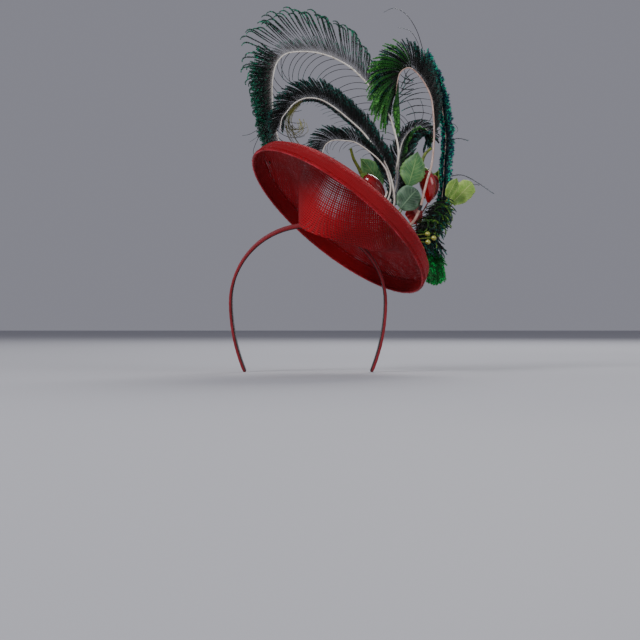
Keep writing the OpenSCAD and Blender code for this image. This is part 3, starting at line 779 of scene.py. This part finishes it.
# --- feathers
QUILLS = {
    1: rooted(15, 58, [(76, 20, 34), (87, 22, 68), (83, 24, 95), (76, 27, 114), (65, 30, 131),
                       (54, 33, 145), (40, 35, 158), (24, 36, 167), (8, 37, 172), (-7, 37, 173),
                       (-21, 36, 171), (-29, 35, 164), (-33, 34, 154), (-35, 33, 135), (-33, 31, 106),
                       (-27, 29, 80)]),
    2: rooted(2, 38, [(82, 15, 20), (81, 16, 42), (74, 17, 62), (62, 17, 80), (52, 18, 93),
                      (39, 18, 105), (24, 18, 117), (11, 18, 124), (-2, 17, 125), (-13, 16, 120),
                      (-20, 15, 112), (-25, 14, 105), (-27, 13, 94)]),
    3: rooted(-18, 45, [(78, 5, 32), (76, 4, 50), (71, 3, 60), (61, 2, 70), (46, 0, 80),
                        (35, -2, 82), (24, -4, 82), (17, -5, 78), (14, -6, 70), (17, -6, 64)]),
    4: rooted(8, 14, [(88, 14, -2), (100, 9, 5), (107, 6, 19), (110, 6, 31), (114, 8, 46),
                      (118, 11, 59), (120, 14, 74), (121, 17, 88), (121, 20, 103), (119, 24, 125),
                      (113, 27, 140), (105, 28, 151), (97, 28, 156), (89, 28, 151), (86, 28, 140),
                      (85, 28, 129)]),
    5: rooted(20, 2, [(100, 28, -7), (116, 29, 1), (125, 30, 12), (129, 32, 27), (131, 36, 47),
                      (132, 39, 64), (134, 42, 88), (132, 45, 109), (129, 47, 131), (122, 49, 152),
                      (113, 50, 172)]),
    6: rooted(33, 42, [(83, 34, 34), (87, 37, 56), (89, 40, 74), (93, 42, 88), (101, 45, 98),
                       (110, 48, 101), (118, 50, 97), (121, 51, 91)]),
}
THICKNESS = {1: 1.15, 2: 1.15, 3: 0.9, 4: 1.5, 5: 1.2, 6: 0.8}
for k, points in QUILLS.items():
    shaft = Form()
    r = QUILL_R * THICKNESS[k]
    shaft.tube(curve(points, 8), lambda f: r * (1 - 0.7 * f), 10)
    shaft.make(f"feather_{k}_quill", TAN_QUILL if k in (4, 5) else QUILL, "quill", (f"quill_{k}",))


BARB_STEP = 0.8


def barb(form, root, along, out, up, length, bend, rng, thick=0.24, hairs=1.3, hook=0.0, spread=7,
         bare=0.12):
    """One barb with its fringe of barbules. bend is its angle from the quill at its foot and end.

    hairs is a barbule's length, hook curls the end over, spread sways the barb out of the vane,
    and bare is the share of its length with no barbules.
    """
    tone = rng.random()
    lift = spoke(out, up, math.radians(rng.gauss(0, spread)))
    count = max(8, int(length / BARB_STEP))
    path, p = [root], root.copy()
    drift = math.radians(rng.gauss(0, 5))
    for i in range(count):
        f = (i + 0.5) / count
        a = math.radians(bend[0] + (bend[1] - bend[0]) * f) + drift * f
        a += hook * max(0.0, (f - 0.78) / 0.22) ** 1.5
        d = spoke(along, spoke(lift, up, math.radians(rng.gauss(0, 2))), a)
        p = p + d * (length / count)
        path.append(p.copy())
    form.tube(path, lambda f: thick * (1.15 - 0.85 * f), 3, tone, cap=False)
    points, faces, shares = [], [], []
    for i in range(1, len(path)):
        f = i / count
        if f < bare:
            continue
        d = heading(path, i)
        cross = d.cross(up).normalized()
        size = hairs * (0.35 + 0.65 * min(1.0, (f - bare) / 0.3)) * (1.0 if f < 0.94 else 0.7)
        for side in (-1, 1):
            for shift in (0.0, 0.5):
                foot = path[i - 1].lerp(path[i], shift)
                tilt = up * rng.gauss(0, 0.45)
                way = (d * rng.uniform(0.5, 1.0) + side * cross + tilt).normalized()
                hair = way * size * rng.uniform(0.7, 1.2)
                n = len(points)
                width = d * 0.32
                points += [foot - width, foot + width, foot + hair]
                faces.append([n, n + 1, n + 2])
                shares += [f * 0.9, f * 0.9, min(1.0, f + 0.06)]
    form.add(points, faces, shares, tone)


def vane(form, points, start, lengths, gap, rng, side=1, bend=(60, 45), twist=0.0, **settings):
    """Barbs along a quill from the point numbered start on, one every gap mm."""
    last = len(points) - 1
    place = float(start)
    while place < last - 0.02:
        here, ahead = at(points, place), at(points, min(last, place + 0.05))
        t = (ahead - here).normalized()
        s, u = square_to(t)
        turn = math.radians(twist + (rng.uniform(-40, 40) if twist else 0))
        out, up = spoke(s, u, turn), spoke(u, -s, turn)
        length = at(lengths, min(len(lengths) - 1.001, place - start)) * rng.uniform(0.86, 1.06)
        barb(form, here + side * out * 0.3, t, side * out, up, max(2.0, length), bend, rng, **settings)
        span = (at(points, min(last, place + 0.5)) - here).length * 2 or 1
        place += gap * rng.uniform(0.8, 1.2) / max(span, 2.0)


def feather(name, number, material, seed, parts, nodes=()):
    """Barbs on one of QUILLS as one piece, with the settings of one vane call in each part."""
    form, rng = Form(), random.Random(seed)
    for part in parts:
        vane(form, QUILLS[number], rng=rng, **part)
    form.make(name, material, "feather_vane", nodes)


# 1: the great arch, pale near its quill, with hooked barbs
feather("feather_1_barbs", 1, HERL_GREY, 1, [
    dict(start=5.4, lengths=[10, 26, 42, 50, 54, 56, 52, 44, 36, 30, 26, 22], gap=1.9, bend=(44, 50),
         hook=-1.9, hairs=1.3, bare=0.34),
    dict(start=5.4, lengths=[6, 12, 18, 20, 20, 18, 16, 14, 12, 10, 10, 8], gap=0.8, bend=(50, 46),
         hairs=0.4, thick=0.1, bare=0.1),
    dict(start=12.6, lengths=[26, 24, 22, 20, 18], gap=0.9, bend=(70, 88), hairs=1.9, bare=0.1),
], ("vane_1",))
feather("feather_1_long_barbs", 1, HERL_DARK, 2, [
    dict(start=4.4, lengths=[40, 46, 48, 46, 42, 40, 36, 34], gap=9.5, side=-1, bend=(30, 104),
         hairs=0.5, thick=0.34),
])
# 2 and 3: the dense dark arches
feather("feather_2_barbs", 2, HERL_DARK, 3, [
    dict(start=3.2, lengths=[8, 16, 20, 22, 23, 24, 24, 23, 21, 19, 17, 13], gap=0.6, bend=(56, 26),
         hairs=1.1),
    dict(start=2.2, lengths=[10, 14, 12, 6], gap=1.1, side=-1, bend=(50, 24), hairs=0.9, spread=14),
    dict(start=4, lengths=[10, 16, 20, 18, 16, 10], gap=5, side=-1, bend=(20, 70), hairs=0.3, thick=0.24),
], ("vane_2",))
feather("feather_3_barbs", 3, HERL_DARK, 4, [
    dict(start=4, lengths=[6, 12, 16, 19, 20, 19, 17, 12], gap=0.6, bend=(58, 22), hairs=1.0),
    dict(start=5, lengths=[10, 14, 14, 10], gap=6, side=-1, bend=(25, 80), hairs=0.3, thick=0.2),
], ("vane_3",))
# 4: the tall loop, with a green fall of barbs at its end
feather("feather_4_barbs", 4, HERL_DARK, 5, [
    dict(start=9.5, lengths=[6, 12, 18, 24, 28, 30, 30, 26], gap=0.5, bend=(66, 30), hairs=1.6),
    dict(start=15, lengths=[24, 30], gap=0.5, bend=(30, -4), hairs=1.4, spread=20),
    dict(start=9, lengths=[24, 30, 34, 34, 26, 16], gap=7, side=-1, bend=(62, 118), hairs=0.9, thick=0.22),
], ("vane_4",))
feather("feather_4_green_barbs", 4, HERL_GREEN, 6, [
    dict(start=13.7, lengths=[34, 36, 38, 36], gap=0.42, bend=(64, 4), hairs=1.5, spread=16),
    dict(start=15.4, lengths=[30, 38, 46, 52], gap=0.3, bend=(40, -4), hairs=1.4, spread=26),
    dict(start=15.6, side=-1, lengths=[30, 40, 50], gap=0.3, bend=(14, -4), hairs=1.4, spread=26),
])
# 5: the blue-green sword that stands at the back
feather("feather_5_barbs", 5, HERL_BLUE, 7, [
    dict(start=3, lengths=[8, 9, 9, 10, 10, 11, 11, 11, 10, 9], gap=0.35, bend=(78, 44), twist=50,
         hairs=2.2, bare=0.0),
    dict(start=1.7, lengths=[10, 15, 16, 12, 9], gap=0.5, bend=(70, 24), twist=20, hairs=2.0, bare=0.0),
    dict(start=3, lengths=[5] + [6] * 9, gap=0.5, side=-1, bend=(56, 30), twist=50, hairs=2.0, bare=0.0),
], ("vane_5",))
# 6: the short curl behind the leaves
feather("feather_6_barbs", 6, HERL_DARK, 8, [
    dict(start=1.6, lengths=[10, 18, 22, 24, 24, 22, 18], gap=0.7, bend=(60, 30), hairs=1.2, spread=14),
    dict(start=1.6, lengths=[12, 18, 18, 12], gap=1.2, side=-1, bend=(44, 14), hairs=1.1, spread=14),
    dict(start=4.4, lengths=[26, 30, 32, 26, 20], gap=4, side=-1, bend=(50, 120), hairs=0.5, thick=0.24),
], ("vane_6",))
feather("feather_6_green_barbs", 6, HERL_GREEN, 9, [
    dict(start=3, lengths=[20, 24, 20, 12], gap=1.4, bend=(34, 4), hairs=1.2),
])

# Single barbs that stand clear, and the curled olive ones
WISPS = [
    [(112, 49, 178), (106, 48, 196), (96, 47, 211), (84, 46, 217), (74, 45, 213)],
    [(-38, 36, 112), (-46, 36, 100), (-56, 36, 93), (-64, 35, 91)],
    [(-38, 26, 106), (-48, 25, 88), (-53, 24, 74), (-48, 23, 68)],
    [(138, 40, 87), (147, 41, 89), (156, 42, 87)],
    [(139, 38, 52), (150, 39, 53), (163, 40, 47), (181, 41, 35)],
    [(139, 42, 48), (152, 43, 45), (167, 44, 44)],
]


def fringed(form, path, rng, size, thick):
    """A barb on a path of its own, with a sparse fringe of hairs."""
    form.tube(path, lambda f: thick * (1 - 0.6 * f), 5, rng.random())
    points, faces = [], []
    for i in range(1, len(path)):
        d = heading(path, i)
        for side in (-1, 1):
            stray = Vector((rng.gauss(0, 0.6), rng.gauss(0, 0.6), rng.gauss(0, 0.6)))
            hair = (d + stray + side * square_to(d)[0]).normalized() * size * rng.uniform(0.6, 1.2)
            n = len(points)
            points += [path[i] - d * 0.2, path[i] + d * 0.2, path[i] + hair]
            faces.append([n, n + 1, n + 2])
    form.add(points, faces, 0.8, 0.6)


rng = random.Random(21)
wisps = Form()
for k, points in enumerate(WISPS):
    fringed(wisps, curve(points, 14), rng, 0.4 if k < 3 else 1.5, 0.36)
for points in ([(108, 49, 182), (104, 48, 190), (98, 47, 196), (88, 46, 198)],
               [(134, 41, 100), (142, 41, 103), (146, 42, 97), (140, 42, 92)],
               [(-36, 30, 104), (-46, 30, 92), (-57, 30, 84)]):
    fringed(wisps, curve(points, 12), rng, 0.3, 0.28)
wisps.make("loose_barbs", HERL_DARK, "feather_vane", ("wisp_barbs",))

olive = Form()
CURL = [(-8, 8, 120), (-17, 7, 110), (-20, 6, 98), (-14, 5, 89), (-6, 5, 93), (-8, 6, 101)]
for k in range(9):
    shift = Vector((rng.gauss(0, 2.4), rng.gauss(0, 2), rng.gauss(0, 2.6)))
    size = rng.uniform(0.75, 1.12)
    centre = Vector((-13, 6.5, 104))
    points = [centre + (Vector(p) - centre) * size + shift * (0.4 + 0.15 * i) for i, p in enumerate(CURL)]
    fringed(olive, curve(points, 12), rng, 0.7, 0.3)
for k in range(5):
    x = rng.uniform(-22, -14)
    points = [(x, 10, 98), (x + 2, 11, 88), (x + 7, 12, 80), (x + 13, 13, 76)]
    fringed(olive, curve(points, 8), rng, 0.6, 0.3)
olive.make("olive_curled_barbs", HERL_OLIVE, "olive_barbs", ("olive_curl",))

# Thread wound round quill 4
winding = Form()
wind_c, wind_d = QUILLS[4][4], (QUILLS[4][5] - QUILLS[4][3]).normalized()
a_side = wind_d.cross(DEPTH).normalized()
b_side = wind_d.cross(a_side)
COIL_STEPS, COIL_TURNS, COIL_LENGTH = 12, 8, 5.2
coil = []
for k in range(COIL_STEPS * COIL_TURNS):
    a = 2 * math.pi * k / COIL_STEPS
    f = k / (COIL_STEPS * COIL_TURNS) - 0.5
    coil.append(wind_c + wind_d * f * COIL_LENGTH + (QUILL_R + 0.4) * spoke(a_side, b_side, a))
winding.tube(coil, 0.34, 6)
winding.make("wound_thread", DARK_THREAD, "binding_thread", ("quill_binding",))


# --- leaves, petals and peppers
LEAF_THICK = 0.4


def blade(form, points, widths, cup, rng, wave, teeth, rows=36, across=10):
    """A leaf about its midrib: cupped, waved at its edge, ribbed, with real thickness."""
    path = curve(points, rows // (len(points) - 1))
    n = len(path) - 1
    front, back, marks = [], [], []
    phase = rng.uniform(0, 6)
    for i, p in enumerate(path):
        f = i / n
        s, u = square_to(heading(path, i))
        w = max(0.25, at(widths, f * (len(widths) - 1) * 0.9999))
        taper = min(1.0, (1 - f) / 0.16, f / 0.06 + 0.25)
        w *= math.sqrt(max(0.02, taper))
        if teeth:
            w *= 1 + 0.08 * (1 - abs((f * teeth) % 1 * 2 - 1))
        row, under = [], []
        for j in range(across + 1):
            x = 2 * j / across - 1
            rib = 0.35 * math.exp(-(x / 0.08) ** 2)
            vein = 0.54 * math.cos(2 * math.pi * (f * VEINS - abs(x) * VEIN_SLANT)) * (1 - abs(x)) * abs(x)
            flutter = wave * abs(x) ** 2 * math.sin(phase + f * 17 + 2 * x)
            lift = cup * w * abs(x) ** 1.6 + flutter + vein - rib
            row.append(p + s * w * x + u * (lift + LEAF_THICK / 2))
            under.append(p + s * w * x + u * (lift - LEAF_THICK / 2))
            marks.append((x, f, 0))
        front.append(row)
        back.append(under)
    m = across + 1
    count = len(front) * m
    faces = []
    for i in range(len(front) - 1):
        for j in range(across):
            a, b, c, d = i * m + j, i * m + j + 1, (i + 1) * m + j + 1, (i + 1) * m + j
            faces += [[a, b, c, d], [d + count, c + count, b + count, a + count]]
        for j in (0, across):
            a, d = i * m + j, (i + 1) * m + j
            faces.append([a, d, d + count, a + count] if j == 0 else [d, a, a + count, d + count])
    for i in (0, len(front) - 1):
        for j in range(across):
            a, b = i * m + j, i * m + j + 1
            faces.append([b, a, a + count, b + count] if i == 0 else [a, b, b + count, a + count])
    form.add([q for row in front + back for q in row], faces, 0.5, rng.random(), marks + marks)


LEAVES = {  # midrib, half widths, cup, wave, teeth, material, slot
    "leaf_round": ([(88, 2, 18), (93, 3, 24), (98, 4, 30), (104, 4, 36)], [4, 11, 12, 8],
                   0.2, 0.8, 0, LEAF_DARK, "leaf_green"),
    "leaf_pointed": ([(96, 12, 40), (99, 12, 50), (102, 12, 61), (105, 12, 73)], [2, 11, 10, 1],
                     0.25, 0.6, 9, LEAF_GREEN, "leaf_green"),
    "leaf_back": ([(71, 44, 40), (66, 45, 50), (60, 45, 60), (51, 44, 70)], [2, 9, 9, 1],
                  0.2, 0.8, 8, LEAF_GREEN, "leaf_green"),
    "leaf_lobed": ([(139, 28, 25), (145, 29, 31), (152, 30, 38), (159, 31, 45)], [3, 8, 9, 7],
                   0.15, 1.2, 4, LEAF_LIME, "leaf_lime"),
    "leaf_small": ([(134, 20, 30), (137, 19, 36), (140, 18, 42), (143, 17, 48)], [2.5, 5, 5, 1],
                   0.2, 0.5, 5, LEAF_LIME, "leaf_lime"),
}
rng = random.Random(31)
for name, (points, widths, cup, wave, teeth, material, slot) in LEAVES.items():
    form = Form()
    blade(form, points, widths, cup, rng, wave, teeth)
    form.make(name + "_cloth", material, slot, (name,))

wires = Form()
for name, turn, rise, via in (("leaf_round", -22, 25, (80, 3, 8)), ("leaf_pointed", -8, 24, (88, 6, 14)),
                              ("leaf_back", 55, 55, (68, 38, 24)), ("leaf_lobed", 24, 22, (106, 26, 8)),
                              ("leaf_small", 14, 32, (108, 22, 4))):
    wires.tube(lead(LEAVES[name][0], turn, rise, via), 0.6, 8)
wires.make("leaf_wire_stems", STEM, "stem_wire", ("leaf_wires",))

PEPPERS = {
    "pepper_front": ([(54, 31, 51), (58, 31, 47), (64, 31, 41), (70, 31, 34), (74, 30, 29)],
                     [(49, 31, 59), (44, 30, 68), (41, 29, 78)]),
    "pepper_back": ([(112, 26, 56), (114, 26, 50), (116, 26, 42), (117, 26, 33), (116, 26, 25)],
                    [(110, 26, 64), (113, 27, 72), (119, 28, 78)]),
}
PEPPER_R = 8.0
PEPPER_SHAPE = [v * PEPPER_R for v in (0.5, 0.9, 1.0, 0.7, 0.15)]
CAP_NECK_R, CAP_EDGE_R, SEPALS = 1.3, 4.9, 6
caps, stems = Form(), Form()
for name, (points, rest) in PEPPERS.items():
    path = curve(points, 8)
    rows = []
    for i, p in enumerate(path):
        f = i / (len(path) - 1)
        s, u = square_to(heading(path, i))
        r = max(0.3, at(PEPPER_SHAPE, f * 3.9999))
        rows.append(hoop(p, s, u, lambda a: r * (1 + 0.035 * math.cos(3 * a + 1) * (1 - f)), 28))
    fruit = Form()
    fruit.grid(rows, along=[i / (len(rows) - 1) for i, row in enumerate(rows) for _ in row])
    tip = rows[-1][:-1]
    fruit.add(tip, [list(range(len(tip)))])
    fruit.make(name + "_pod", PEPPER, "pepper_red", (name,))
    # Cap with pointed sepals, then the curved stem
    first = Vector(points[0])
    d = (first - Vector(points[1])).normalized()
    s, u = square_to(d)
    rows = []
    for i in range(9):
        f = i / 8
        row = []
        for j in range(31):
            a = 2 * math.pi * j / 30
            point = 0.5 + 0.5 * math.cos(SEPALS * a)
            down = 4.3 - 4.2 * f ** 0.8 - 2.6 * point * max(0.0, f - 0.6)
            r = (CAP_NECK_R + (CAP_EDGE_R - CAP_NECK_R) * f) * (1 + 0.12 * point * f)
            row.append(first + d * down + r * spoke(s, u, a))
        rows.append(row)
    caps.grid(rows)
    stems.tube(curve([first + 4.0 * d] + [Vector(p) for p in rest], 10),
               lambda f: 1.9 - 0.7 * f + 0.35 * max(0, f - 0.9) * 10, 10)
caps.make("pepper_cap_sepals", LIME_STEM, "leaf_lime", ("pepper_caps",))
stems.make("pepper_stem_curves", STEM, "stem_wire", ("pepper_stems",))

PETALS = [([(104, 17, 4), (102, 16, 14), (97, 15, 20)], [5, 8, 7], 2, 0, (88, 14, -9)),
          ([(117, 46, 30), (119, 45, 42), (118, 44, 54)], [5, 9, 8], 42, 10, (100, 42, 4))]
petals, petal_wires = Form(), Form()
for points, widths, turn, rise, via in PETALS:
    blade(petals, points, widths, 0.35, rng, 1.2, 0, 32, 12)
    petal_wires.tube(lead(points, turn, rise, via), 0.6, 8)
petals.make("red_petal_cloth", PETAL, "petal_red", ("red_petals",))
petal_wires.make("petal_wire_stems", THREAD, "petal_red", ("petal_wires",))

# Pleated lime strip
PLEATS, RUFFLE_STEPS = 4.5, 65
ruffle = Form()
rows = []
for i in range(RUFFLE_STEPS):
    f = i / (RUFFLE_STEPS - 1)
    fold = 2.4 * math.sin(f * 2 * math.pi * PLEATS)
    base = Vector((116 + 13 * f, 54 + 3 * f + fold * 0.6, 47))
    tall = 13 + 2.5 * math.sin(f * 9)
    rows.append([base + Vector(((f - 0.4) * 7 * g, fold * 0.6 * g, tall * g * (1 - 0.1 * g)))
                 for g in (0, 0.2, 0.4, 0.6, 0.8, 1.0)])
ruffle.grid(rows, weave=[(0.2, f / RUFFLE_STEPS, 0) for f in range(RUFFLE_STEPS * 6)])
ruffle.make("lime_ruffle_cloth", LEAF_LIME, "leaf_lime", ("lime_ruffle",))

# Berries, each with its wire's turn and rise out of the mound
BERRIES = [((114, 6, -6), -26, 4), ((120, 5, -10), -34, -6),
           ((114, 1, -14), -42, 8), ((108, 0, -20), -50, -2)]
BERRY_R, BERRY_HALF = 2.3, 2.5
berries, berry_wires = Form(), Form()
for c, turn, rise in BERRIES:
    c = Vector(c)
    d = (c - MOUND_C).normalized()
    s, u = square_to(d)
    rows = []
    for i in range(13):
        b = math.pi * i / 12
        r = BERRY_R * math.sin(b)
        middle = c - d * BERRY_HALF * math.cos(b)
        rows.append(hoop(middle, s, u, lambda a: r * (1 + 0.07 * math.cos(5 * a)), 18))
    berries.grid(rows)
    berry_wires.tube(curve(rooted(turn, rise, [c - 8 * d, c - 2.4 * d]), 8), 0.5, 6)
berries.make("bud_berry_skins", BERRY, "leaf_lime", ("bud_berries",))
berry_wires.make("bud_wire_stems", STEM, "stem_wire", ("bud_wires",))

# --- herl tuft and emerald plume
rng = random.Random(41)
tuft, curls = Form(), Form()
for k in range(110):  # drooping
    root = Vector((rng.uniform(104, 120), rng.uniform(13, 21), rng.uniform(-8, 4)))
    d = Vector((rng.uniform(0.0, 0.7), rng.gauss(0, 0.12), -1)).normalized()
    barb(tuft, root, d, *square_to(d), rng.uniform(12, 26), (rng.uniform(-14, 14), rng.uniform(-30, 20)),
         rng, bare=0.0)
for k in range(210):  # rising, and curled over
    f = rng.random()
    root = Vector((105 + 17 * f + rng.gauss(0, 2.5), rng.uniform(10, 24), 24 * f - 3 + rng.gauss(0, 3)))
    d = Vector((rng.uniform(0.4, 1.0), rng.gauss(0, 0.15), rng.uniform(-0.2, 0.9))).normalized()
    barb(curls if k % 3 == 0 else tuft, root, d, *square_to(d), rng.uniform(14, 26),
         (rng.uniform(-10, 20), rng.uniform(60, 150)), rng, hairs=1.0, bare=0.0)
tuft.make("herl_tuft_barbs", HERL_DARK, "feather_vane", ("herl_tuft",))
curls.make("herl_tuft_green_barbs", HERL_MOSS, "feather_vane")

PLUME = rooted(30, -10, [(90, 30, -16), (106, 27, -18), (118, 25, -27), (122, 24, -38), (124, 23, -49)])
plume_quill = Form()
plume_quill.tube(curve(PLUME, 8), lambda f: 0.8 - 0.4 * f, 8)
plume_quill.make("plume_quill_shaft", QUILL, "quill", ("plume_quill",))
plume = Form()
tail = PLUME[3:-1] + [Vector((122, 23, -44))]
for side in (1, -1):
    for layer in range(5):
        vane(plume, tail, 0, [12, 15, 16, 10], 0.7, rng, side=side, spread=18,
             bend=(62 - 12 * layer, 4 - 6 * layer), hairs=1.8, bare=0.0)
plume.make("emerald_plume_barbs", EMERALD, "plume_green", ("plume_vane",))

# --- carried-over pieces
CARRIED = {"band_core_top": SPRING, "band_core_left": SPRING, "band_core_right": SPRING,
           "rim_wire": RIM_WIRE, "band_stitches": THREAD}
for name, material in CARRIED.items():
    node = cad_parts[name]
    node.data.materials.clear()
    node.data.materials.append(material)
